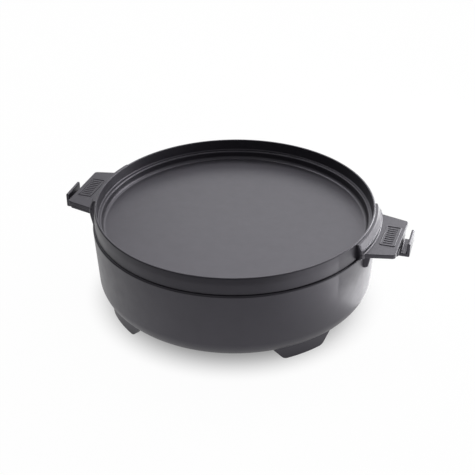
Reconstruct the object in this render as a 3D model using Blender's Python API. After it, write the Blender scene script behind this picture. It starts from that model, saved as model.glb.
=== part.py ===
"""A two-piece cast iron camp pot: a deep pot on four feet, closed by a shallow pan that is its lid.

Units are metres, +Z is up, and the origin lies on the table below the middle of the pot. The handles
lie along X. The lid is shown closed, lying a little askew as a loose lid does. Its left handle can be
hooked into the left handle of the pot, and the lid then swings open about the line HINGE_X, HINGE_Z.
"""
import math

import bmesh
import bpy
from mathutils import Vector

# Clearances
FIT = 0.0003
PAN_PLAY = 0.0012
SWING_GAP = 0.0004

# Pot
BOTTOM_RISE = 0.0118
POT_HEIGHT = 0.0909
POT_RIM_RADIUS = 0.1707
POT_DRAFT = 0.0048
POT_CORNER = 0.024
POT_WALL = 0.0055
POT_FLOOR = 0.006
RIM_ROUND = 0.0012

# Feet
FOOT_INSET = 0.0094
FOOT_THICKNESS = 0.0065
FOOT_ANGLE = math.radians(45.0)
FOOT_TURN = math.radians(2.0)
FOOT_HALF_SPAN = math.radians(9.6)
FOOT_ROOT_SPAN = math.radians(13.2)
FOOT_ROUND = 0.00075

# Pan that is the lid
PAN_RISE = 0.021
PAN_SETBACK = 0.0024
PAN_DRAFT = 0.0003
PAN_RIM = 0.0024
PAN_EDGE_ROUND = 0.0008
PAN_DEPTH = 0.0245
PAN_FLOOR = 0.005
PAN_WALL = 0.0045
PAN_CORNER = 0.0075
LEDGE_DEPTH = 0.0140
LEDGE_ROUND = 0.0015
LEDGE_DRAFT = 0.0012
LID_TWIST = math.radians(-1.9)

# Lid handles
LID_PLATE_DROP = 0.0136
LID_PLATE = 0.0052
LID_PLATE_LENGTH = 0.0347
LID_PLATE_ROOT = 0.049
LID_PLATE_END = 0.0394
LID_PLATE_CORNER = 0.004
LID_ROOT_SPAN = math.radians(17.2)
ROOT_LIFT = 0.0018
ROOT_SHELF = 0.0023
ROOT_SLOPE = 0.0023
COLLAR = 0.0019
COLLAR_LIFT = 0.0044
FRAME_LENGTH = 0.044
FRAME_DEPTH = 0.0181
FRAME_BAR = 0.0016
FRAME_LIFT = 0.0008
FRAME_INSET = 0.0045

# Pot handles
POT_PLATE = 0.004
POT_PLATE_ROOT = 0.0395
POT_PLATE_END = 0.0295
GUSSET_REACH = 0.0028
GUSSET_DROP = 0.0135
GUSSET_TIP = 0.0012

# Hook at the end of each pot handle
HINGE_INSET = 0.0033
HINGE_DROP = 0.0232
LID_OPEN = math.radians(92.0)
HOOK_HALF_WIDTH = 0.017
HOOK_WALL = 0.0036
HOOK_BOTTOM = 0.0039
HOOK_TOP_DROP = 0.0144
HOOK_ROUND = 0.0012
HOOK_HAUNCH = 0.006
RIDGE_UNDERCUT_DEGREES = 25.0
RIDGE_BACK_DEGREES = 150.0

# Facets
TURN_STEPS = 72
ARC_STEPS = 6
SWING_STEPS = 30

# Sizes that follow
POT_TOP = BOTTOM_RISE + POT_HEIGHT
SEAT = POT_TOP + FIT
PAN_TOP = SEAT + PAN_RISE
POT_LOW_RADIUS = POT_RIM_RADIUS - POT_DRAFT
POT_MOUTH_RADIUS = POT_RIM_RADIUS - POT_WALL
FOOT_RADIUS = POT_LOW_RADIUS - FOOT_INSET
PAN_BODY_RADIUS = POT_MOUTH_RADIUS - PAN_PLAY
PAN_SEAT_RADIUS = POT_RIM_RADIUS - PAN_SETBACK
PAN_RADIUS = PAN_SEAT_RADIUS - PAN_DRAFT
LID_PLATE_REACH = PAN_SEAT_RADIUS + LID_PLATE_LENGTH
LID_PLATE_TOP = PAN_TOP - LID_PLATE_DROP
LID_PLATE_BOTTOM = LID_PLATE_TOP - LID_PLATE
POT_PLATE_REACH = LID_PLATE_REACH
HINGE_X = LID_PLATE_REACH - HINGE_INSET
HINGE_Z = PAN_TOP - HINGE_DROP
ASKEW = LID_PLATE_REACH / math.cos(LID_TWIST) - LID_PLATE_REACH + HOOK_HALF_WIDTH * math.tan(abs(LID_TWIST))

IRON = (0.020, 0.019, 0.023, 1.0)


def material(name, colour, roughness, metallic):
    made = bpy.data.materials.new(name)
    made.use_nodes = True
    shader = made.node_tree.nodes["Principled BSDF"]
    shader.inputs["Base Color"].default_value = colour
    shader.inputs["Roughness"].default_value = roughness
    shader.inputs["Metallic"].default_value = metallic
    return made


def arc(centre, radius, start, end, steps=ARC_STEPS):
    """Points of an arc in degrees, both ends included."""
    points = []
    for step in range(steps + 1):
        angle = math.radians(start + (end - start) * step / steps)
        points.append((centre[0] + radius * math.cos(angle), centre[1] + radius * math.sin(angle)))
    return points


def finish(bm, name, sharp_degrees=35.0):
    """Turns a bmesh into a smooth-shaded object whose faces point out."""
    bmesh.ops.remove_doubles(bm, verts=bm.verts, dist=1e-6)
    bmesh.ops.recalc_face_normals(bm, faces=bm.faces)
    mesh = bpy.data.meshes.new(name)
    bm.to_mesh(mesh)
    bm.free()
    mesh.shade_smooth()
    mesh.set_sharp_from_angle(angle=math.radians(sharp_degrees))
    made = bpy.data.objects.new(name, mesh)
    bpy.context.scene.collection.objects.link(made)
    return made


def turned(name, outline, steps=TURN_STEPS):
    """Revolves an outline of (radius, height) points that starts and ends on the axis."""
    bm = bmesh.new()
    rings = []
    for radius, height in outline:
        if radius < 1e-6:
            rings.append([bm.verts.new((0.0, 0.0, height))])
            continue
        ring = []
        for step in range(steps):
            angle = 2.0 * math.pi * step / steps
            ring.append(bm.verts.new((radius * math.cos(angle), radius * math.sin(angle), height)))
        rings.append(ring)
    for first, second in zip(rings, rings[1:]):
        for step in range(steps):
            after = (step + 1) % steps
            corners = [first[step % len(first)], first[after % len(first)]]
            corners += [second[after % len(second)], second[step % len(second)]]
            bm.faces.new(list(dict.fromkeys(corners)))
    return finish(bm, name)


def swept(name, sections):
    """Joins closed sections of equal length, each a list of 3-D points, and caps both ends."""
    bm = bmesh.new()
    rows = []
    for section in sections:
        rows.append([bm.verts.new(point) for point in section])
    count = len(rows[0])
    for first, second in zip(rows, rows[1:]):
        for index in range(count):
            after = (index + 1) % count
            bm.faces.new((first[index], first[after], second[after], second[index]))
    bm.faces.new(rows[0])
    bm.faces.new(rows[-1])
    return finish(bm, name)


def sector(name, outline, half_span, steps):
    """Turns a closed (radius, height) outline through an angle either side of +X."""
    sections = []
    for step in range(steps + 1):
        angle = half_span * (2.0 * step / steps - 1.0)
        sections.append([(r * math.cos(angle), r * math.sin(angle), z) for r, z in outline])
    return swept(name, sections)


def plate(name, outline, low, high):
    """Extrudes a closed (x, y) outline between two heights."""
    return swept(name, [[(x, y, low) for x, y in outline], [(x, y, high) for x, y in outline]])


def as_guide(guide):
    guide.hide_render = True
    guide.display_type = "WIRE"


def combine(target, other, operation):
    """Adds an exact Boolean and leaves the other object as a guide."""
    modifier = target.modifiers.new(operation.title(), "BOOLEAN")
    modifier.operation = operation
    modifier.solver = "EXACT"
    modifier.object = other
    as_guide(other)


def pot_wall_radius(height):
    """Outer radius of the drafted pot wall."""
    low = BOTTOM_RISE + POT_CORNER
    share = (height - low) / (POT_TOP - low)
    return POT_LOW_RADIUS + (POT_RIM_RADIUS - POT_LOW_RADIUS) * share


def pot_outline():
    corner = (POT_LOW_RADIUS - POT_CORNER, BOTTOM_RISE + POT_CORNER)
    inner_corner = POT_CORNER - POT_WALL
    inner_centre = (POT_LOW_RADIUS - POT_CORNER, BOTTOM_RISE + POT_FLOOR + inner_corner)
    outline = [(0.0, BOTTOM_RISE)]
    outline += arc(corner, POT_CORNER, -90.0, 0.0, 10)
    outline += arc((POT_RIM_RADIUS - RIM_ROUND, POT_TOP - RIM_ROUND), RIM_ROUND, 0.0, 90.0, 3)
    outline += arc((POT_MOUTH_RADIUS + RIM_ROUND, POT_TOP - RIM_ROUND), RIM_ROUND, 90.0, 180.0, 3)
    outline += arc(inner_centre, inner_corner, 0.0, -90.0, 8)
    outline.append((0.0, BOTTOM_RISE + POT_FLOOR))
    return outline


def pan_outline():
    """Section of the pan: a flange that sits on the pot's rim, and a body that hangs in its mouth."""
    outer_corner = PAN_CORNER + PAN_WALL
    bottom = PAN_TOP - PAN_DEPTH - PAN_FLOOR
    floor = PAN_TOP - PAN_DEPTH
    ledge = PAN_TOP - LEDGE_DEPTH
    inner_low = PAN_BODY_RADIUS - PAN_WALL
    inner_top = PAN_RADIUS - PAN_RIM
    edge = PAN_EDGE_ROUND
    above_seat = max(0.0, bottom + outer_corner - SEAT)
    last = -math.degrees(math.asin(above_seat / outer_corner))
    outline = [(0.0, bottom)]
    outline += arc((PAN_BODY_RADIUS - outer_corner, bottom + outer_corner), outer_corner, -90.0, last, 7)
    outline.append((PAN_BODY_RADIUS, SEAT))
    outline += arc((PAN_SEAT_RADIUS - edge, SEAT + edge), edge, -90.0, 0.0, 2)
    outline += arc((PAN_RADIUS - edge, PAN_TOP - edge), edge, 0.0, 90.0, 2)
    outline += arc((inner_top + edge, PAN_TOP - edge), edge, 90.0, 180.0, 2)
    outline += arc((inner_top - LEDGE_DRAFT - LEDGE_ROUND, ledge + LEDGE_ROUND), LEDGE_ROUND, 0.0, -90.0, 3)
    outline += arc((inner_low + LEDGE_ROUND, ledge - LEDGE_ROUND), LEDGE_ROUND, 90.0, 180.0, 3)
    outline += arc((inner_low - PAN_CORNER, floor + PAN_CORNER), PAN_CORNER, -10.0, -90.0, 6)
    outline.append((0.0, floor))
    return outline


def foot_outline():
    """Section of a foot: flat below, and cut above to the rounding under the pot."""
    centre = (POT_LOW_RADIUS - POT_CORNER, BOTTOM_RISE + POT_CORNER)
    reach = POT_CORNER + FIT
    inner = FOOT_RADIUS - FOOT_THICKNESS
    first = -math.degrees(math.acos((FOOT_RADIUS - centre[0]) / reach))
    last = -math.degrees(math.acos((inner - centre[0]) / reach))
    return [(inner, 0.0), (FOOT_RADIUS, 0.0)] + arc(centre, reach, first, last, 5)


def make_foot(name, angle, iron, steps=14):
    """A curved skirt that narrows to its lower edge, with rounded lower corners."""
    outline = foot_outline()
    levels = []
    for radius, height in outline:
        share = min(height / BOTTOM_RISE, 1.0)
        half = FOOT_HALF_SPAN + (FOOT_ROOT_SPAN - FOOT_HALF_SPAN) * share
        levels.append((radius, height, half))
    sections = []
    for step in range(steps + 1):
        share = 2.0 * step / steps - 1.0
        section = []
        for radius, height, half in levels:
            turn = angle + half * share
            section.append((radius * math.cos(turn), radius * math.sin(turn), height))
        sections.append(section)
    foot = swept(name, sections)
    bevel = foot.modifiers.new("Edges", "BEVEL")
    bevel.width = FOOT_ROUND
    bevel.segments = 1
    bevel.limit_method = "ANGLE"
    foot.data.materials.append(iron)
    return foot


def rounded_ends(half_width, reach, corner):
    """Outer end of a plate, from its -Y side to its +Y side, with rounded corners."""
    points = arc((reach - corner, -half_width + corner), corner, -90.0, 0.0, 4)
    points += arc((reach - corner, half_width - corner), corner, 0.0, 90.0, 4)
    return points


def root_arc(radius, half_width, steps):
    """Inner edge of a plate on a round wall, from its +Y side to its -Y side."""
    points = []
    limit = math.asin(half_width / radius)
    for step in range(steps + 1):
        angle = limit * (1.0 - 2.0 * step / steps)
        points.append((radius * math.cos(angle), radius * math.sin(angle)))
    return points


def make_lid_handle(name, iron):
    """A flat plate with a stepped root on the pan's wall and a raised frame round a bare field."""
    wall = PAN_SEAT_RADIUS + FIT
    shelf = PAN_SEAT_RADIUS + ROOT_SHELF
    outer = shelf + ROOT_SLOPE
    collar = outer + COLLAR
    collar_top = LID_PLATE_TOP + COLLAR_LIFT
    top = PAN_TOP - ROOT_LIFT
    root = [(wall, SEAT), (outer, SEAT), (collar, LID_PLATE_BOTTOM), (collar, collar_top)]
    root += [(outer, collar_top), (shelf, top), (wall, top)]
    handle = sector(name, root, LID_ROOT_SPAN, 16)

    outline = rounded_ends(LID_PLATE_END, LID_PLATE_REACH, LID_PLATE_CORNER)
    outline += root_arc(shelf, LID_PLATE_ROOT, 14)
    blade = plate(name + "_blade", outline, LID_PLATE_BOTTOM, LID_PLATE_TOP)
    combine(handle, blade, "UNION")

    middle = LID_PLATE_REACH - FRAME_INSET - FRAME_DEPTH / 2.0
    low = LID_PLATE_TOP - LID_PLATE / 2.0
    high = LID_PLATE_TOP + FRAME_LIFT
    sizes = ((FRAME_DEPTH, FRAME_LENGTH), (FRAME_DEPTH - 2 * FRAME_BAR, FRAME_LENGTH - 2 * FRAME_BAR))
    boxes = []
    for index, (depth, length) in enumerate(sizes):
        past = index * FIT
        corners = []
        for side_x, side_y in ((-1, -1), (1, -1), (1, 1), (-1, 1)):
            corners.append((middle + side_x * depth / 2.0, side_y * length / 2.0))
        boxes.append(plate(name + "_frame_" + str(index), corners, low - past, high + past))
    combine(boxes[0], boxes[1], "DIFFERENCE")
    combine(handle, boxes[0], "UNION")
    handle.data.materials.append(iron)
    return handle


def plate_end_low():
    """Lowest point that the lid plate's end reaches below the hinge line while the lid opens."""
    lowest = 0.0
    for step in range(SWING_STEPS + 1):
        turn = LID_OPEN * step / SWING_STEPS
        for rise in (LID_PLATE_BOTTOM - HINGE_Z, LID_PLATE_TOP - HINGE_Z):
            lowest = min(lowest, rise * math.cos(turn) - (HINGE_INSET + ASKEW) * math.sin(turn))
    return lowest


def hook_outline():
    """Side view of the hook, as (x, z): a round ridge, the trough outboard of it and the upright lip."""
    ridge = LID_PLATE_BOTTOM - FIT - HINGE_Z
    lip = HINGE_X + math.hypot(HINGE_INSET + ASKEW, LID_PLATE_TOP - HINGE_Z) + SWING_GAP
    back = lip + HOOK_WALL
    top = PAN_TOP - HOOK_TOP_DROP
    floor = HINGE_Z + plate_end_low() - SWING_GAP
    under = floor - HOOK_BOTTOM
    root = HINGE_X - ridge - HOOK_HAUNCH
    points = [(root, POT_TOP - POT_PLATE + FIT), (HINGE_X - ridge, under)]
    points += arc((back - HOOK_ROUND, under + HOOK_ROUND), HOOK_ROUND, -90.0, 0.0, 3)
    points += arc((back - HOOK_ROUND, top - HOOK_ROUND), HOOK_ROUND, 0.0, 90.0, 3)
    points += arc((lip + HOOK_ROUND, top - HOOK_ROUND), HOOK_ROUND, 90.0, 180.0, 3)
    points += arc((lip - HOOK_ROUND, floor + HOOK_ROUND), HOOK_ROUND, 0.0, -90.0, 3)
    points.append((HINGE_X + ridge * math.cos(math.radians(RIDGE_UNDERCUT_DEGREES)), floor))
    points += arc((HINGE_X, HINGE_Z), ridge, -RIDGE_UNDERCUT_DEGREES, RIDGE_BACK_DEGREES, 12)
    points.append((root, POT_TOP - FIT))
    return points


def make_pot_handle(name, iron):
    """A plate level with the pot's rim, a low rib below its root, and a hook at its outer end."""
    top = POT_TOP
    low = POT_TOP - POT_PLATE
    foot = low - GUSSET_DROP
    columns = 12
    sections = []
    for step in range(columns + 1):
        share = 2.0 * step / columns - 1.0
        section = []
        y = share * POT_PLATE_ROOT
        for height in (foot, low, top):
            radius = pot_wall_radius(height) + FIT
            section.append((math.sqrt(radius * radius - y * y), y, height))
        y_end = share * POT_PLATE_END
        section.append((POT_PLATE_REACH, y_end, top))
        section.append((POT_PLATE_REACH, y_end, low))
        section.append((pot_wall_radius(low) + GUSSET_REACH, y, low))
        section.append((pot_wall_radius(foot) + GUSSET_TIP, y, foot))
        sections.append(section)
    handle = swept(name, sections)

    side = hook_outline()
    ends = [[(x, y, z) for x, z in side] for y in (-HOOK_HALF_WIDTH, HOOK_HALF_WIDTH)]
    combine(handle, swept(name + "_hook", ends), "UNION")
    handle.data.materials.append(iron)
    return handle


def turn_handle(thing, angle):
    """Turns a handle and its guides about the pot's axis, and returns the handle."""
    thing.rotation_euler.z = angle
    for modifier in thing.modifiers:
        if modifier.type == "BOOLEAN":
            turn_handle(modifier.object, angle)
    return thing


def main():
    for thing in list(bpy.data.objects):
        bpy.data.objects.remove(thing, do_unlink=True)
    iron = material("Enamelled iron", IRON, 0.42, 0.0)

    bowl = turned("pot_bowl", pot_outline())
    bowl.data.materials.append(iron)
    pan = turned("lid_pan", pan_outline())
    pan.data.materials.append(iron)

    feet = (("front_right", -1), ("back_right", 1), ("back_left", 3), ("front_left", 5))
    for place, count in feet:
        make_foot("foot_" + place, count * FOOT_ANGLE + FOOT_TURN, iron)

    swing = bpy.data.objects.new("lid_swing", None)
    bpy.context.scene.collection.objects.link(swing)
    swing.location = Vector((-HINGE_X, 0.0, HINGE_Z))
    lid_parts = [pan]
    for side, angle in (("right", 0.0), ("left", math.pi)):
        turn_handle(make_pot_handle("pot_handle_" + side, iron), angle)
        lid_parts.append(turn_handle(make_lid_handle("lid_handle_" + side, iron), angle + LID_TWIST))
    bpy.context.view_layer.update()
    for lid_part in lid_parts:
        lid_part.parent = swing
        lid_part.matrix_parent_inverse = swing.matrix_world.inverted()


main()
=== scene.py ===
"""Looks of a two-piece enamelled cast iron camp pot: a deep pot on four feet and the pan that is its lid."""

import math

import bmesh
import bpy
from mathutils import Matrix, Vector


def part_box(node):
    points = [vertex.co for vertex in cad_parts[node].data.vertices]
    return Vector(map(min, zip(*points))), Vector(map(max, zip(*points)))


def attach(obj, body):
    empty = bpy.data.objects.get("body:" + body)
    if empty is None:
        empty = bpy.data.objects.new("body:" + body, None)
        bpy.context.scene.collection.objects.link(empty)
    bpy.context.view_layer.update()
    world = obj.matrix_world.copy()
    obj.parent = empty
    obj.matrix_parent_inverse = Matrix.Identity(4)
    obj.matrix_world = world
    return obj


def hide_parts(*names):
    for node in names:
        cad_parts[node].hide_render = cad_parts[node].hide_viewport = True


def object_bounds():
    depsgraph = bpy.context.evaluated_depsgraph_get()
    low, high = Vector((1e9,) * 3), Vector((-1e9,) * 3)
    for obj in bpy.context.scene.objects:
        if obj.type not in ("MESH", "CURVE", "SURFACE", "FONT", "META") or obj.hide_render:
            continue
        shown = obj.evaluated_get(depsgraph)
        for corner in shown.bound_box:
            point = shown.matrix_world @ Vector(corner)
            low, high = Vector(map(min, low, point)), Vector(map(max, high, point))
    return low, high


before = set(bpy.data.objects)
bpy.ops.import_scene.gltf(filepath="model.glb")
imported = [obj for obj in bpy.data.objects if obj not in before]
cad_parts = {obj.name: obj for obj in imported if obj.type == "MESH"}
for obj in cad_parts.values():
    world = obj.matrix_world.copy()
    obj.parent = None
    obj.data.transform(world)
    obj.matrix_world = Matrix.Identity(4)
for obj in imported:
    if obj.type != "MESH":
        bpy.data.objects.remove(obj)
cad_low, cad_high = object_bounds()
pot_low, pot_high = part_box("pot_bowl")
pan_low, pan_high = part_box("lid_pan")

# Pot
POT_TOP = pot_high[2]
POT_BOTTOM = pot_low[2]
POT_RIM_RADIUS = pot_high[0]
POT_LOW_RADIUS = POT_RIM_RADIUS - 0.0048
POT_CORNER = 0.024
POT_WALL = 0.0055
POT_FLOOR = 0.006
RIM_ROUND = 0.0012
RIM_OUTER_ROUND = 0.0021

# Feet
FOOT_RADIUS = POT_LOW_RADIUS - 0.0094
FOOT_THICKNESS = 0.0065
FOOT_ANGLE = 45.0
FOOT_TURN = 2.0
FOOT_HALF_SPAN = 9.6
FOOT_ROOT_SPAN = 13.2
FOOT_CORNER = 0.0035
FOOT_FILLET = 0.003
FOOT_EDGE = 0.0009
FOOT_EDGE_ANGLE = 50.0
FOOT_ROOT_LEVEL = 1.3

# Pan that is the lid
SEAT = POT_TOP + 0.0003
PAN_TOP = pan_high[2]
PAN_BOTTOM = pan_low[2]
PAN_SEAT_RADIUS = pan_high[0]
PAN_RADIUS = PAN_SEAT_RADIUS - 0.0003
PAN_BODY_RADIUS = POT_RIM_RADIUS - POT_WALL - 0.0012
PAN_RIM = 0.0024
PAN_RIM_ROUND = 0.0014
PAN_RIM_INNER_ROUND = 0.0009
PAN_LEAN_DEPTH = 0.0085
PAN_LEAN = 0.0006
PAN_LEAN_ROUND = 0.08
PAN_SEAT_ROUND = 0.0005
PAN_DEPTH = 0.0245
PAN_WALL = 0.0045
PAN_CORNER = 0.0040
LEDGE_DEPTH = 0.0140
LEDGE_ROUND = 0.0015
LEDGE_EDGE_ROUND = 0.0018
LEDGE_DRAFT = 0.0012

# How far the lid lies turned on the pot, in degrees
LID_TWIST = -1.9

# Lid handles
LID_PLATE_DROP = 0.0136
LID_PLATE = 0.0052
LID_PLATE_REACH = PAN_SEAT_RADIUS + 0.0347
LID_PLATE_ROOT = 0.049
LID_PLATE_END = 0.0394
LID_PLATE_CORNER = 0.004
LID_PLATE_EDGE = 0.0007
LID_ROOT_SPAN = 17.2
ROOT_LIFT = 0.0018
ROOT_SHELF = 0.0023
ROOT_SLOPE = 0.0036
ROOT_FILLET = 0.0014
ROOT_EDGE = 0.0006

# Length over which the root's ends draw in, and the share of its reach that is left there
ROOT_RUN_OUT = 0.0010
ROOT_END = 0.7
COLLAR = 0.0010
COLLAR_LIFT = 0.0044
FRAME_LENGTH = 0.044
FRAME_DEPTH = 0.0181
FRAME_BAR = 0.0016
FRAME_LIFT = 0.0008
FRAME_INSET = 0.0045
FRAME_CORNER = 0.0012
RIBS = 8
RIB_WIDTH = 0.0015
RIB_LENGTH = 0.0112
RIB_LIFT = 0.0006
RIB_CORNER = RIB_WIDTH * 0.45
RIB_EDGE = RIB_WIDTH * 0.3

# Section of the frame's bar, across and up, in shares of FRAME_BAR and FRAME_LIFT
BAR_SECTION = ((-0.5, -1.0), (0.5, -1.0), (0.5, 0.55), (0.35, 0.9), (0.0, 1.0), (-0.35, 0.9), (-0.5, 0.55))

# Pot handles
POT_PLATE = 0.004
POT_PLATE_ROOT = 0.0395
POT_PLATE_END = 0.0295
POT_PLATE_CORNER = 0.003
POT_PLATE_EDGE = 0.0007
GUSSET_REACH = 0.0028
GUSSET_DROP = 0.0135
GUSSET_TIP = 0.0012
GUSSET_TIP_LOW = GUSSET_TIP * 0.7
GUSSET_EDGE = 0.0012
HINGE_X = LID_PLATE_REACH - 0.0033
HINGE_Z = PAN_TOP - 0.0232
RIDGE_RADIUS = 0.0041
RIDGE_UNDERCUT = 25.0
RIDGE_BACK = 150.0
LIP_X = HINGE_X + 0.01079
LIP_WALL = 0.0036
LIP_TOP = PAN_TOP - 0.0144
TROUGH_FLOOR = HINGE_Z - 0.00471
HOOK_UNDER = TROUGH_FLOOR - 0.0039
HOOK_HAUNCH = 0.006
HOOK_HALF_WIDTH = 0.017
HOOK_EDGE = 0.0007
HAUNCH_ROUND = 0.002
HOOK_BACK_ROUND = 0.0016
LIP_ROUND = 0.0014
TROUGH_ROUND = 0.0009

# How far a piece is sunk into the casting that carries it, and how far faces that would coincide are apart
SINK = 0.0015
TOUCH = 0.00003

# Enamel
ENAMEL_DARK = (0.010, 0.0092, 0.0125, 1.0)
ENAMEL_LIGHT = (0.013, 0.012, 0.0155, 1.0)
ENAMEL_GLOSS = (0.90, 0.86, 1.0, 1.0)
ENAMEL_IOR = 1.6
ENAMEL_ROUGHNESS = (0.40, 0.46)
COAT_WEIGHT = 0.10
COAT_ROUGHNESS = 0.24
CLOUD_SCALE = 18.0
GLOSS_SCALE = 70.0
PEEL_SCALE = 650.0
PEEL_STRENGTH = 0.35
PEEL_DEPTH = 0.00006
CAST_SCALE = 60.0
CAST_STRENGTH = 0.4
CAST_DEPTH = 0.0002

# Camera, fitted to the photograph's circles and corners
FRAME_PIXELS = 475
FOCAL_PIXELS = 1043
SENSOR = 36.0
VIEW_AZIMUTH = 18.74 + LID_TWIST
VIEW_ELEVATION = 31.48
VIEW_ROLL = -0.36
VIEW_DISTANCE = 1.248
VIEW_RIGHT = 0.0031
VIEW_UP = -0.0438

# Sky: white up to the first elevation, down to DARK_SKY at the second, and FILL as light on the pot
HORIZON_WHITE = 8.0
HORIZON_DARK = 16.0
DARK_SKY = 0.42
FILL = 0.18

# Floor: its own white goes from WHITE_NEAR at SHADOW_INNER to WHITE_FAR at SHADOW_OUTER from the middle
FLOOR_RADIUS = 6.0
FLOOR_GREY = (0.82, 0.82, 0.82, 1.0)
SHADOW_INNER = 0.125
SHADOW_OUTER = 0.190
WHITE_NEAR = 0.245
WHITE_FAR = 0.98

# Black card that paints a dark reflection into the enamel at the front left, its ends as azimuths from the
# view
CARD_INNER = 0.40
CARD_OUTER = 0.62
CARD_HEIGHT = 0.25
CARD_START = -122.0
CARD_END = 38.0
REFLECTION_CARD_BLACK = (0.01, 0.01, 0.01, 1.0)
CARD_ROUGHNESS = 0.9

# Height that the soft boxes aim at, and height of what lies on the floor
LAMP_AIM = 0.06
FLOOR_LIFT = 0.002

# Name, azimuth from the view, elevation, distance, width, height and radiance
SOFTBOXES = (
    ("top_softbox", 180.0, 58.0, 2.2, 2.3, 1.1, 4.1),
    ("near_softbox", 168.0, 29.0, 1.1, 0.9, 0.35, 1.7),
    ("key_softbox", 122.0, 21.0, 0.64, 0.18, 0.44, 12.5),
    ("side_softbox", 103.0, 2.0, 1.5, 0.9, 0.36, 10.0),
)

# Name, azimuth from the view, distance, width, length and radiance
FLOOR_LAMPS = (
    ("table_light", 68.0, 0.37, 0.50, 0.30, 0.6),
    ("back_table_light", 118.0, 0.42, 0.55, 0.60, 1.9),
)

# Segments
TURN_STEPS = 288
BOWL_STEPS = 14
PAN_STEPS = 8
ROOT_STEPS = 48
LID_ARC_STEPS = 16
LID_CORNER_STEPS = 8
POT_ARC_STEPS = 12
POT_CORNER_STEPS = 6
BAR_CORNER_STEPS = 4
RIB_CORNER_STEPS = 3
GUSSET_CORNER_STEPS = 4
RIDGE_STEPS = 18
FOOT_STEPS = 30
FOOT_EDGE_STEPS = 3
CARD_STEPS = 24
FLOOR_STEPS = 96

# Edges above this angle stay sharp, in degrees
SHARP_ANGLE = 40.0


def direction(azimuth, elevation):
    """Unit vector in degrees, with azimuth 0 at -Y and 90 at +X."""
    around, up = math.radians(azimuth), math.radians(elevation)
    return Vector((math.sin(around) * math.cos(up), -math.cos(around) * math.cos(up), math.sin(up)))


def arc(centre, radius, start, end, steps=6):
    """Points of an arc in degrees, both ends included."""
    points = []
    for step in range(steps + 1):
        angle = math.radians(start + (end - start) * step / steps)
        points.append((centre[0] + radius * math.cos(angle), centre[1] + radius * math.sin(angle)))
    return points


def rounded(corners, steps=5, closed=True):
    """Replaces each (x, y, radius) corner by an arc that touches both its sides."""
    points = []
    count = len(corners)
    for index, (x, y, radius) in enumerate(corners):
        corner = Vector((x, y))
        if radius <= 0.0 or (not closed and index in (0, count - 1)):
            points.append((x, y))
            continue
        before = Vector(corners[index - 1][:2]) - corner
        after = Vector(corners[(index + 1) % count][:2]) - corner
        half = before.angle(after) / 2.0
        first = corner + before.normalized() * (radius / math.tan(half))
        last = corner + after.normalized() * (radius / math.tan(half))
        centre = corner + (before.normalized() + after.normalized()).normalized() * (radius / math.sin(half))
        start = first - centre
        sweep = start.angle_signed(last - centre)
        for step in range(steps + 1):
            turn = Matrix.Rotation(-sweep * step / steps, 2)
            points.append(tuple(centre + turn @ start))
    return points


def rectangle(x, y, half_x, half_y, corner, steps):
    """A rounded rectangle about (x, y), counter-clockwise."""
    return rounded([
        (x - half_x, y - half_y, corner),
        (x + half_x, y - half_y, corner),
        (x + half_x, y + half_y, corner),
        (x - half_x, y + half_y, corner),
    ], steps)


def wall_arc(radius, half_angle, steps):
    """Points along a round wall from +half_angle to -half_angle, without the two ends."""
    points = []
    for step in range(1, steps):
        angle = half_angle * (1.0 - 2.0 * step / steps)
        points.append((radius * math.cos(angle), radius * math.sin(angle)))
    return points


def drawn_in(outline, inset):
    """Moves a closed counter-clockwise outline inwards along the middle of its two sides' normals."""
    points = []
    count = len(outline)
    for index in range(count):
        here = Vector(outline[index])
        before = (here - Vector(outline[index - 1])).normalized()
        after = (Vector(outline[(index + 1) % count]) - here).normalized()
        normal = Vector((-before.y - after.y, before.x + after.x)).normalized()
        spread = max(normal.dot(Vector((-before.y, before.x))), 0.5)
        points.append(tuple(here + normal * (inset / spread)))
    return points


def edge_layers(start, end, edge, steps=4):
    """Insets and places of the layers that round both ends of a stack."""
    layers = []
    for step in range(steps + 1):
        turn = math.pi / 2.0 * step / steps
        layers.append((edge * (1.0 - math.sin(turn)), start + edge * (1.0 - math.cos(turn))))
    for step in range(steps + 1):
        turn = math.pi / 2.0 * (1.0 - step / steps)
        layers.append((edge * (1.0 - math.sin(turn)), end - edge * (1.0 - math.cos(turn))))
    return layers


def add_stack(bm, rows):
    """Joins closed rows of points with faces and closes the first and the last row."""
    rings = []
    for row in rows:
        rings.append([bm.verts.new(point) for point in row])
    count = len(rings[0])
    for first, second in zip(rings, rings[1:]):
        for index in range(count):
            after = (index + 1) % count
            bm.faces.new((first[index], first[after], second[after], second[index]))
    bm.faces.new(list(reversed(rings[0])))
    bm.faces.new(rings[-1])


def add_slab(bm, outline, low, high, edge):
    """A flat plate with rounded edges, from a counter-clockwise (x, y) outline."""
    rows = []
    for inset, height in edge_layers(low, high, edge):
        rows.append([(x, y, height) for x, y in drawn_in(outline, inset)])
    add_stack(bm, rows)


def turned(name, outline):
    """Revolves an outline of (radius, height) points that starts and ends on the axis."""
    bm = bmesh.new()
    rings = []
    for radius, height in outline:
        if radius < 1e-6:
            rings.append([bm.verts.new((0.0, 0.0, height))])
            continue
        ring = []
        for step in range(TURN_STEPS):
            angle = 2.0 * math.pi * step / TURN_STEPS
            ring.append(bm.verts.new((radius * math.cos(angle), radius * math.sin(angle), height)))
        rings.append(ring)
    for first, second in zip(rings, rings[1:]):
        for step in range(TURN_STEPS):
            after = (step + 1) % TURN_STEPS
            corners = [first[step % len(first)], first[after % len(first)]]
            corners += [second[after % len(second)], second[step % len(second)]]
            bm.faces.new(list(dict.fromkeys(corners)))
    return finished(bm, name)


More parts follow.
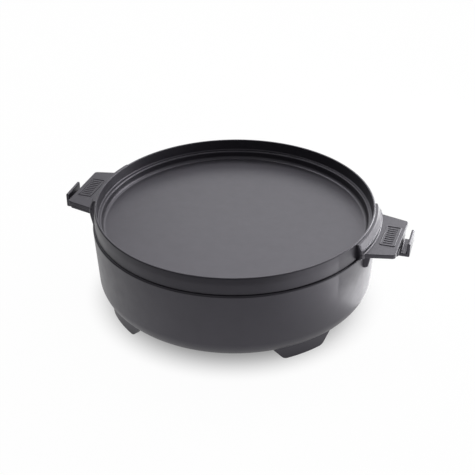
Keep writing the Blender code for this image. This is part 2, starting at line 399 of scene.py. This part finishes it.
def finished(bm, name, turn=0.0):
    """Makes an object of a bmesh, turned about the pot's axis, with normals that suit rounded edges."""
    bmesh.ops.remove_doubles(bm, verts=bm.verts, dist=1e-7)
    bmesh.ops.recalc_face_normals(bm, faces=bm.faces)
    bmesh.ops.rotate(bm, verts=bm.verts, cent=(0, 0, 0), matrix=Matrix.Rotation(math.radians(turn), 3, "Z"))
    mesh = bpy.data.meshes.new(name)
    bm.to_mesh(mesh)
    bm.free()
    mesh.shade_smooth()
    mesh.set_sharp_from_angle(angle=math.radians(SHARP_ANGLE))
    made = bpy.data.objects.new(name, mesh)
    bpy.context.scene.collection.objects.link(made)
    normals = made.modifiers.new("Even normals", "WEIGHTED_NORMAL")
    normals.keep_sharp = True
    normals.weight = 100
    return made


def smooth_step(share):
    share = min(max(share, 0.0), 1.0)
    return share * share * (3.0 - 2.0 * share)


def pot_wall_radius(height):
    """Outer radius of the bowl's drafted wall."""
    low = POT_BOTTOM + POT_CORNER
    share = (height - low) / (POT_TOP - low)
    return POT_LOW_RADIUS + (POT_RIM_RADIUS - POT_LOW_RADIUS) * share


def bowl_outline():
    """Section of the bowl, from the middle of its underside round the rim to the middle of its floor."""
    floor = POT_BOTTOM + POT_FLOOR
    corners = [
        (0.0, POT_BOTTOM, 0.0),
        (POT_LOW_RADIUS, POT_BOTTOM, POT_CORNER),
        (POT_RIM_RADIUS, POT_TOP, RIM_OUTER_ROUND),
        (POT_RIM_RADIUS - POT_WALL, POT_TOP, RIM_ROUND),
        (POT_LOW_RADIUS - POT_WALL, floor, POT_CORNER - POT_WALL),
        (0.0, floor, 0.0),
    ]
    return rounded(corners, BOWL_STEPS, closed=False)


def pan_outline():
    """Section of the pan, from the middle of its underside round the rim to the middle of its floor."""
    inner_low = PAN_BODY_RADIUS - PAN_WALL
    inner_top = PAN_RADIUS - PAN_RIM
    ledge = PAN_TOP - LEDGE_DEPTH
    floor = PAN_TOP - PAN_DEPTH
    corners = [
        (0.0, PAN_BOTTOM, 0.0),
        (PAN_BODY_RADIUS, PAN_BOTTOM, PAN_CORNER),
        (PAN_BODY_RADIUS, SEAT, 0.0),
        (PAN_SEAT_RADIUS, SEAT, PAN_SEAT_ROUND),
        (PAN_RADIUS, PAN_TOP - PAN_LEAN_DEPTH, PAN_LEAN_ROUND),
        (PAN_RADIUS - PAN_LEAN, PAN_TOP, PAN_RIM_ROUND),
        (inner_top - PAN_LEAN, PAN_TOP, PAN_RIM_INNER_ROUND),
        (inner_top - LEDGE_DRAFT, ledge, LEDGE_ROUND),
        (inner_low, ledge, LEDGE_EDGE_ROUND),
        (inner_low, floor, PAN_CORNER),
        (0.0, floor, 0.0),
    ]
    return rounded(corners, PAN_STEPS, closed=False)


def lid_handle(name, turn):
    """A plate with a stepped root on the pan's wall, and a raised frame round a field of plain ribs."""
    bm = bmesh.new()
    plate_top = PAN_TOP - LID_PLATE_DROP
    plate_low = plate_top - LID_PLATE
    wall = PAN_RADIUS - SINK
    shelf = PAN_SEAT_RADIUS + ROOT_SHELF
    outer = shelf + ROOT_SLOPE
    collar = outer + COLLAR
    root = rounded([
        (wall, SEAT + TOUCH, 0.0),
        (outer, SEAT + TOUCH, ROOT_EDGE),
        (collar, plate_low, 0.0),
        (collar + ROOT_FILLET, plate_low + TOUCH, 0.0),
        (collar + ROOT_FILLET, plate_top - TOUCH, 0.0),
        (collar, plate_top - TOUCH, ROOT_FILLET),
        (collar, plate_top + COLLAR_LIFT, ROOT_EDGE),
        (outer, plate_top + COLLAR_LIFT, ROOT_EDGE),
        (shelf, PAN_TOP - ROOT_LIFT, ROOT_EDGE),
        (wall, PAN_TOP - ROOT_LIFT, 0.0),
    ])
    span = math.radians(LID_ROOT_SPAN)
    layers = edge_layers(-span * shelf, span * shelf, ROOT_EDGE)
    half = len(layers) // 2
    middle = []
    for step in range(1, ROOT_STEPS):
        middle.append((0.0, layers[half - 1][1] * (1.0 - 2.0 * step / ROOT_STEPS)))
    rows = []
    for inset, place in layers[:half] + middle + layers[half:]:
        angle = place / shelf
        share = smooth_step((span * shelf - abs(place)) / ROOT_RUN_OUT)
        kept = ROOT_END + (1.0 - ROOT_END) * share
        row = []
        for radius, z in drawn_in(root, inset):
            radius = wall + (radius - wall) * kept
            row.append((radius * math.cos(angle), radius * math.sin(angle), z))
        rows.append(row)
    add_stack(bm, rows)

    blade = rounded([
        (shelf * math.cos(span), -LID_PLATE_ROOT, 0.0),
        (LID_PLATE_REACH, -LID_PLATE_END, LID_PLATE_CORNER),
        (LID_PLATE_REACH, LID_PLATE_END, LID_PLATE_CORNER),
        (shelf * math.cos(span), LID_PLATE_ROOT, 0.0),
    ], LID_CORNER_STEPS)
    blade += wall_arc(shelf, span, LID_ARC_STEPS)
    add_slab(bm, blade, plate_low, plate_top, LID_PLATE_EDGE)

    middle_x = LID_PLATE_REACH - FRAME_INSET - FRAME_DEPTH / 2.0
    add_frame(bm, middle_x, plate_top)
    pitch = (FRAME_LENGTH - 2.0 * FRAME_BAR) / (RIBS + 1)
    for index in range(RIBS):
        y = pitch * (index - (RIBS - 1) / 2.0)
        rib = rectangle(middle_x, y, RIB_LENGTH / 2.0, RIB_WIDTH / 2.0, RIB_CORNER, RIB_CORNER_STEPS)
        add_slab(bm, rib, plate_top - RIB_LIFT, plate_top + RIB_LIFT, RIB_EDGE)
    return finished(bm, name, turn)


def add_frame(bm, middle_x, plate_top):
    """A raised bar round a rectangle."""
    rings = []
    for across, up in BAR_SECTION:
        half_x = FRAME_DEPTH / 2.0 - FRAME_BAR * (0.5 - across)
        half_y = FRAME_LENGTH / 2.0 - FRAME_BAR * (0.5 - across)
        corner = FRAME_CORNER + FRAME_BAR * across
        path = rectangle(middle_x, 0.0, half_x, half_y, corner, BAR_CORNER_STEPS)
        height = plate_top + FRAME_LIFT * up
        rings.append([bm.verts.new((px, py, height)) for px, py in path])
    count = len(rings[0])
    for first, second in zip(rings, rings[1:] + rings[:1]):
        for index in range(count):
            after = (index + 1) % count
            bm.faces.new((first[index], first[after], second[after], second[index]))


def hook_outline():
    """Side view of the hook, as (x, z): a round ridge, the trough outboard of it and the upright lip."""
    plate_low = POT_TOP - POT_PLATE
    root = HINGE_X - RIDGE_RADIUS - HOOK_HAUNCH
    back = LIP_X + LIP_WALL
    undercut = math.radians(RIDGE_UNDERCUT)
    trough_x = HINGE_X + RIDGE_RADIUS * math.cos(undercut)
    outline = rounded([
        (root, POT_TOP - POT_PLATE / 2.0, 0.0),
        (root, plate_low, 0.0),
        (HINGE_X - RIDGE_RADIUS, HOOK_UNDER, HAUNCH_ROUND),
        (back, HOOK_UNDER, HOOK_BACK_ROUND),
        (back, LIP_TOP, HOOK_BACK_ROUND),
        (LIP_X, LIP_TOP, LIP_ROUND),
        (LIP_X, TROUGH_FLOOR, LIP_ROUND),
        (trough_x, TROUGH_FLOOR, TROUGH_ROUND),
        (trough_x, HINGE_Z - RIDGE_RADIUS * math.sin(undercut), 0.0),
    ])
    outline += arc((HINGE_X, HINGE_Z), RIDGE_RADIUS, -RIDGE_UNDERCUT, RIDGE_BACK, RIDGE_STEPS)[1:]
    return outline


def pot_handle(name, turn):
    """A plate level with the pot's rim, a gusset below its root, and a hook at its outer end."""
    bm = bmesh.new()
    plate_low = POT_TOP - POT_PLATE
    wall = POT_RIM_RADIUS - SINK
    inner = math.sqrt(wall ** 2 - POT_PLATE_ROOT ** 2)
    plate = rounded([
        (inner, -POT_PLATE_ROOT, 0.0),
        (LID_PLATE_REACH, -POT_PLATE_END, POT_PLATE_CORNER),
        (LID_PLATE_REACH, POT_PLATE_END, POT_PLATE_CORNER),
        (inner, POT_PLATE_ROOT, 0.0),
    ], POT_CORNER_STEPS)
    plate += wall_arc(wall, math.asin(POT_PLATE_ROOT / wall), POT_ARC_STEPS)
    add_slab(bm, plate, plate_low, POT_TOP, POT_PLATE_EDGE)

    low = plate_low - GUSSET_DROP
    gusset = (
        (low - GUSSET_EDGE, -SINK),
        (low, GUSSET_TIP_LOW),
        (low + GUSSET_EDGE, GUSSET_TIP),
        (plate_low + POT_PLATE_EDGE, GUSSET_REACH),
    )
    rows = []
    for height, reach in gusset:
        wall = pot_wall_radius(height)
        inner = math.sqrt((wall - 2.0 * SINK) ** 2 - POT_PLATE_ROOT ** 2)
        outer = wall + reach
        rows.append([(x, y, height) for x, y in rounded([
            (inner, -POT_PLATE_ROOT, 0.0),
            (outer, -POT_PLATE_ROOT, GUSSET_EDGE),
            (outer, POT_PLATE_ROOT, GUSSET_EDGE),
            (inner, POT_PLATE_ROOT, 0.0),
        ], GUSSET_CORNER_STEPS)])
    add_stack(bm, rows)

    side = hook_outline()
    rows = []
    for inset, place in edge_layers(-HOOK_HALF_WIDTH, HOOK_HALF_WIDTH, HOOK_EDGE):
        rows.append([(x, place, z) for x, z in drawn_in(side, inset)])
    add_stack(bm, rows)
    return finished(bm, name, turn)


def foot(name, turn):
    """A curved skirt that narrows to its lower edge and runs out into the rounding under the pot."""
    bm = bmesh.new()
    centre = Vector((POT_LOW_RADIUS - POT_CORNER, POT_BOTTOM + POT_CORNER))
    inner = FOOT_RADIUS - FOOT_THICKNESS
    fillet_x = FOOT_RADIUS + FOOT_FILLET
    reach = POT_CORNER + FOOT_FILLET
    fillet = Vector((fillet_x, centre.y - math.sqrt(reach ** 2 - (fillet_x - centre.x) ** 2)))
    meet = math.degrees(math.atan2(centre.y - fillet.y, centre.x - fillet.x))
    outer_line = arc(tuple(fillet), FOOT_FILLET, 180.0, meet, 5)
    inner_top = centre.y - math.sqrt(POT_CORNER ** 2 - (inner - centre.x) ** 2) + SINK
    arc_length = math.radians(FOOT_HALF_SPAN) * FOOT_RADIUS
    rows = []
    for step in range(FOOT_STEPS + 1):
        share = math.sin(math.pi / 2.0 * (2.0 * step / FOOT_STEPS - 1.0))
        past = max(0.0, abs(share) * arc_length - (arc_length - FOOT_CORNER))
        lift = FOOT_CORNER - math.sqrt(max(0.0, FOOT_CORNER ** 2 - past ** 2))
        section = [(inner, lift), (FOOT_RADIUS, lift)] + outer_line
        section += [(outer_line[-1][0] - SINK, outer_line[-1][1] + SINK), (inner, inner_top)]
        row = []
        for radius, height in section:
            level = min(height / POT_BOTTOM, FOOT_ROOT_LEVEL)
            half = FOOT_HALF_SPAN + (FOOT_ROOT_SPAN - FOOT_HALF_SPAN) * level
            angle = math.radians(turn + half * share)
            row.append((radius * math.cos(angle), radius * math.sin(angle), height))
        rows.append(row)
    add_stack(bm, rows)
    made = finished(bm, name)
    bevel = made.modifiers.new("Edges", "BEVEL")
    bevel.width = FOOT_EDGE
    bevel.segments = FOOT_EDGE_STEPS
    bevel.limit_method = "ANGLE"
    bevel.angle_limit = math.radians(FOOT_EDGE_ANGLE)
    made.modifiers.move(1, 0)
    return made


def enamel():
    """Satin black enamel on cast iron: nearly smooth, with a fine orange peel and uneven gloss."""
    made = bpy.data.materials.new("satin_black_enamel")
    made.use_nodes = True
    nodes, links = made.node_tree.nodes, made.node_tree.links
    shader = nodes["Principled BSDF"]
    shader.inputs["Metallic"].default_value = 0.0
    shader.inputs["IOR"].default_value = ENAMEL_IOR
    shader.inputs["Specular Tint"].default_value = ENAMEL_GLOSS
    shader.inputs["Coat Weight"].default_value = COAT_WEIGHT
    shader.inputs["Coat Roughness"].default_value = COAT_ROUGHNESS
    place = nodes.new("ShaderNodeTexCoord")

    def noise(scale, detail, roughness):
        texture = nodes.new("ShaderNodeTexNoise")
        texture.inputs["Scale"].default_value = scale
        texture.inputs["Detail"].default_value = detail
        texture.inputs["Roughness"].default_value = roughness
        links.new(place.outputs["Object"], texture.inputs["Vector"])
        return texture

    def ranged(source, low, high):
        spread = nodes.new("ShaderNodeMapRange")
        spread.inputs["From Min"].default_value = 0.3
        spread.inputs["From Max"].default_value = 0.7
        spread.inputs["To Min"].default_value = low
        spread.inputs["To Max"].default_value = high
        links.new(source.outputs["Fac"], spread.inputs["Value"])
        return spread

    def bump(scale, strength, depth):
        relief = nodes.new("ShaderNodeBump")
        relief.inputs["Strength"].default_value = strength
        relief.inputs["Distance"].default_value = depth
        links.new(noise(scale, 2.0, 0.5).outputs["Fac"], relief.inputs["Height"])
        return relief

    tint = nodes.new("ShaderNodeMix")
    tint.data_type = "RGBA"
    tint.inputs["A"].default_value = ENAMEL_DARK
    tint.inputs["B"].default_value = ENAMEL_LIGHT
    clouds = ranged(noise(CLOUD_SCALE, 3.0, 0.5), 0.0, 1.0)
    links.new(clouds.outputs["Result"], tint.inputs["Factor"])
    links.new(tint.outputs["Result"], shader.inputs["Base Color"])
    gloss = ranged(noise(GLOSS_SCALE, 4.0, 0.6), *ENAMEL_ROUGHNESS)
    links.new(gloss.outputs["Result"], shader.inputs["Roughness"])

    peel = bump(PEEL_SCALE, PEEL_STRENGTH, PEEL_DEPTH)
    cast = bump(CAST_SCALE, CAST_STRENGTH, CAST_DEPTH)
    links.new(peel.outputs["Normal"], cast.inputs["Normal"])
    links.new(cast.outputs["Normal"], shader.inputs["Normal"])
    return made


def dress(piece, material, body, *nodes):
    """Gives a piece its material and its body, and hides the solids that it stands for."""
    piece.data.materials.append(material)
    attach(piece, body)
    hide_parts(*nodes)


def stage_material():
    """Pale floor that keeps the shadow round the pot and goes over to white away from it."""
    made = bpy.data.materials.new("studio_floor")
    made.use_nodes = True
    nodes, links = made.node_tree.nodes, made.node_tree.links
    nodes.clear()
    output = nodes.new("ShaderNodeOutputMaterial")
    matt = nodes.new("ShaderNodeBsdfDiffuse")
    matt.inputs["Color"].default_value = FLOOR_GREY
    white = nodes.new("ShaderNodeEmission")
    white.inputs["Strength"].default_value = 1.0
    place = nodes.new("ShaderNodeTexCoord")
    distance = nodes.new("ShaderNodeVectorMath")
    distance.operation = "LENGTH"
    links.new(place.outputs["Object"], distance.inputs[0])
    fade = nodes.new("ShaderNodeMapRange")
    fade.interpolation_type = "SMOOTHSTEP"
    fade.inputs["From Min"].default_value = SHADOW_INNER
    fade.inputs["From Max"].default_value = SHADOW_OUTER
    fade.inputs["To Min"].default_value = WHITE_NEAR
    fade.inputs["To Max"].default_value = WHITE_FAR
    links.new(distance.outputs["Value"], fade.inputs["Value"])
    share = nodes.new("ShaderNodeMath")
    share.operation = "MULTIPLY"
    links.new(fade.outputs["Result"], share.inputs[0])
    links.new(seen_ray(nodes, links).outputs[0], share.inputs[1])
    blend = nodes.new("ShaderNodeMixShader")
    links.new(share.outputs[0], blend.inputs["Fac"])
    links.new(matt.outputs[0], blend.inputs[1])
    links.new(white.outputs[0], blend.inputs[2])
    links.new(blend.outputs[0], output.inputs["Surface"])
    return made


def seen_ray(nodes, links):
    """1 for rays from the camera and for what glossy or clear surfaces show, and 0 for light that falls."""
    rays = nodes.new("ShaderNodeLightPath")
    first = nodes.new("ShaderNodeMath")
    first.operation = "MAXIMUM"
    links.new(rays.outputs["Is Camera Ray"], first.inputs[0])
    links.new(rays.outputs["Is Glossy Ray"], first.inputs[1])
    second = nodes.new("ShaderNodeMath")
    second.operation = "MAXIMUM"
    links.new(first.outputs[0], second.inputs[0])
    links.new(rays.outputs["Is Transmission Ray"], second.inputs[1])
    return second


def build_stage():
    """The floor and the sky."""
    bm = bmesh.new()
    bmesh.ops.create_circle(bm, cap_ends=True, segments=FLOOR_STEPS, radius=FLOOR_RADIUS)
    mesh = bpy.data.meshes.new("floor")
    bm.to_mesh(mesh)
    bm.free()
    floor = bpy.data.objects.new("floor", mesh)
    floor.location.z = cad_low[2]
    floor.data.materials.append(stage_material())
    bpy.context.scene.collection.objects.link(floor)

    world = bpy.data.worlds.new("studio")
    bpy.context.scene.world = world
    world.use_nodes = True
    nodes, links = world.node_tree.nodes, world.node_tree.links
    background = nodes["Background"]
    background.inputs["Color"].default_value = (1.0, 1.0, 1.0, 1.0)
    towards = nodes.new("ShaderNodeTexCoord")
    split = nodes.new("ShaderNodeSeparateXYZ")
    links.new(towards.outputs["Generated"], split.inputs[0])
    rise = nodes.new("ShaderNodeMapRange")
    rise.interpolation_type = "SMOOTHSTEP"
    rise.inputs["From Min"].default_value = math.sin(math.radians(HORIZON_WHITE))
    rise.inputs["From Max"].default_value = math.sin(math.radians(HORIZON_DARK))
    rise.inputs["To Min"].default_value = 1.0
    rise.inputs["To Max"].default_value = DARK_SKY
    links.new(split.outputs["Z"], rise.inputs["Value"])
    strength = nodes.new("ShaderNodeMix")
    strength.inputs["A"].default_value = FILL
    links.new(seen_ray(nodes, links).outputs[0], strength.inputs["Factor"])
    links.new(rise.outputs["Result"], strength.inputs["B"])
    links.new(strength.outputs["Result"], background.inputs["Strength"])


def build_dark_reflection_card():
    """A black card that lies and stands round the front left of the pot, and that only gloss shows: a
    painted dark reflection in the enamel, which casts no shadow and blocks no light on the pot.
    """
    bm = bmesh.new()
    rows = []
    for step in range(CARD_STEPS + 1):
        around = CARD_START + (CARD_END - CARD_START) * step / CARD_STEPS
        ahead = direction(VIEW_AZIMUTH + around, 0.0)
        lying = ahead * CARD_INNER + Vector((0.0, 0.0, FLOOR_LIFT))
        corner = ahead * CARD_OUTER + Vector((0.0, 0.0, FLOOR_LIFT))
        standing = ahead * CARD_OUTER + Vector((0.0, 0.0, CARD_HEIGHT))
        rows.append([bm.verts.new(point) for point in (lying, corner, standing)])
    for first, second in zip(rows, rows[1:]):
        for index in range(2):
            bm.faces.new((first[index], first[index + 1], second[index + 1], second[index]))
    mesh = bpy.data.meshes.new("dark_reflection_card")
    bm.to_mesh(mesh)
    bm.free()
    card = bpy.data.objects.new("dark_reflection_card", mesh)
    bpy.context.scene.collection.objects.link(card)
    black = bpy.data.materials.new("dark_reflection_black")
    black.use_nodes = True
    shader = black.node_tree.nodes["Principled BSDF"]
    shader.inputs["Base Color"].default_value = REFLECTION_CARD_BLACK
    shader.inputs["Roughness"].default_value = CARD_ROUGHNESS
    card.data.materials.append(black)
    # Only glossy rays see the card, so it is a painted dark reflection, not a flag that shades the pot
    card.visible_camera = False
    card.visible_diffuse = False
    card.visible_shadow = False


def area_lamp(name, width, height, radiance, place, turn):
    """A plain rectangular lamp that the camera doesn't see."""
    lamp = bpy.data.lights.new(name, "AREA")
    lamp.shape = "RECTANGLE"
    lamp.size = width
    lamp.size_y = height
    lamp.energy = radiance * math.pi * width * height
    made = bpy.data.objects.new(name, lamp)
    bpy.context.scene.collection.objects.link(made)
    made.location = place
    made.rotation_mode = "QUATERNION"
    made.rotation_quaternion = turn
    made.visible_camera = False


def softbox(name, azimuth, elevation, distance, width, height, radiance):
    """A lamp that faces the pot."""
    away = direction(VIEW_AZIMUTH + azimuth, elevation)
    place = Vector((0.0, 0.0, LAMP_AIM)) + away * distance
    area_lamp(name, width, height, radiance, place, away.to_track_quat("Z", "Y"))


def floor_lamp(name, azimuth, distance, width, length, radiance):
    """A lamp that lies on the floor and faces up, with its length away from the pot."""
    around = VIEW_AZIMUTH + azimuth
    place = Vector((0.0, 0.0, FLOOR_LIFT)) + direction(around, 0.0) * distance
    turn = Matrix.Rotation(math.radians(around), 4, "Z") @ Matrix.Rotation(math.pi, 4, "X")
    area_lamp(name, width, length, radiance, place, turn.to_quaternion())


def build_camera():
    """The photograph's camera, aimed from the middle of the pan's rim."""
    around = math.radians(VIEW_AZIMUTH)
    roll = math.radians(VIEW_ROLL)
    back = direction(VIEW_AZIMUTH, VIEW_ELEVATION)
    level = Vector((math.cos(around), math.sin(around), 0.0))
    upright = back.cross(level)
    right = level * math.cos(roll) + upright * math.sin(roll)
    above = upright * math.cos(roll) - level * math.sin(roll)
    data = bpy.data.cameras.new("camera")
    data.sensor_width = SENSOR
    data.lens = SENSOR * FOCAL_PIXELS / FRAME_PIXELS
    made = bpy.data.objects.new("camera", data)
    bpy.context.scene.collection.objects.link(made)
    place = Vector((0.0, 0.0, PAN_TOP)) + right * VIEW_RIGHT + above * VIEW_UP + back * VIEW_DISTANCE
    made.matrix_world = Matrix((
        (right.x, above.x, back.x, place.x),
        (right.y, above.y, back.y, place.y),
        (right.z, above.z, back.z, place.z),
        (0.0, 0.0, 0.0, 1.0),
    ))
    bpy.context.scene.camera = made


def build_pot():
    """Every piece of the pot and the lid, each in place of its solid."""
    iron = enamel()
    dress(turned("iron_bowl", bowl_outline()), iron, "pot", "pot_bowl")
    dress(turned("iron_pan", pan_outline()), iron, "lid", "lid_pan")
    for side, turn in (("right", 0.0), ("left", 180.0)):
        dress(pot_handle("iron_pot_handle_" + side, turn), iron, "pot", "pot_handle_" + side)
        dress(lid_handle("iron_lid_handle_" + side, turn + LID_TWIST), iron, "lid", "lid_handle_" + side)
    feet = (("front_right", -1), ("back_right", 1), ("back_left", 3), ("front_left", 5))
    for place, count in feet:
        dress(foot("iron_foot_" + place, count * FOOT_ANGLE + FOOT_TURN), iron, "pot", "foot_" + place)


build_camera()
build_stage()
build_dark_reflection_card()
for values in SOFTBOXES:
    softbox(*values)
for values in FLOOR_LAMPS:
    floor_lamp(*values)
build_pot()

bpy.context.scene.view_settings.view_transform = "Standard"
bpy.context.view_layer.update()
